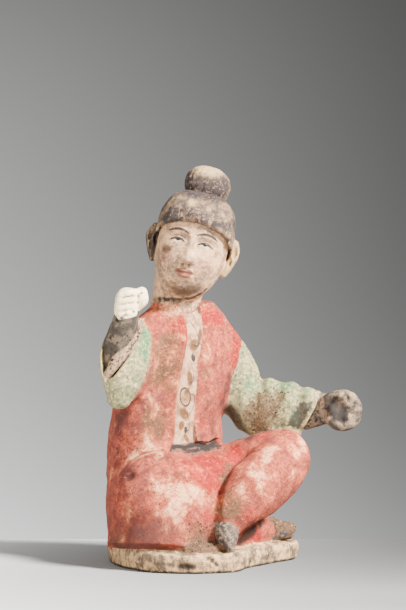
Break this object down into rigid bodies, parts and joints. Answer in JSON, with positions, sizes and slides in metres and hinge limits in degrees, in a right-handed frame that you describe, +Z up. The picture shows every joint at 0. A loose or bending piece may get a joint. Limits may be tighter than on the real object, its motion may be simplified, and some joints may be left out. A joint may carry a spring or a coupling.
{
  "type": "seated terracotta figurine",
  "caption": "Painted terracotta figurine of a seated musician with a topknot, one knee raised, hands closed as if holding an instrument, on its own clay slab.",
  "frame": {"origin": "middle of the flat underside of the slab", "axes": "+Z up through the figure, -Y the way the face looks, +X to the right of someone who looks at the face"},
  "size_m": [0.1987, 0.149, 0.303],
  "materials": {
    "painted_clay": "worn matt paint over white slip on low-fired clay"
  },
  "bodies": {
    "root": {"seated_musician": "painted_clay"}
  },
  "joints": []
}
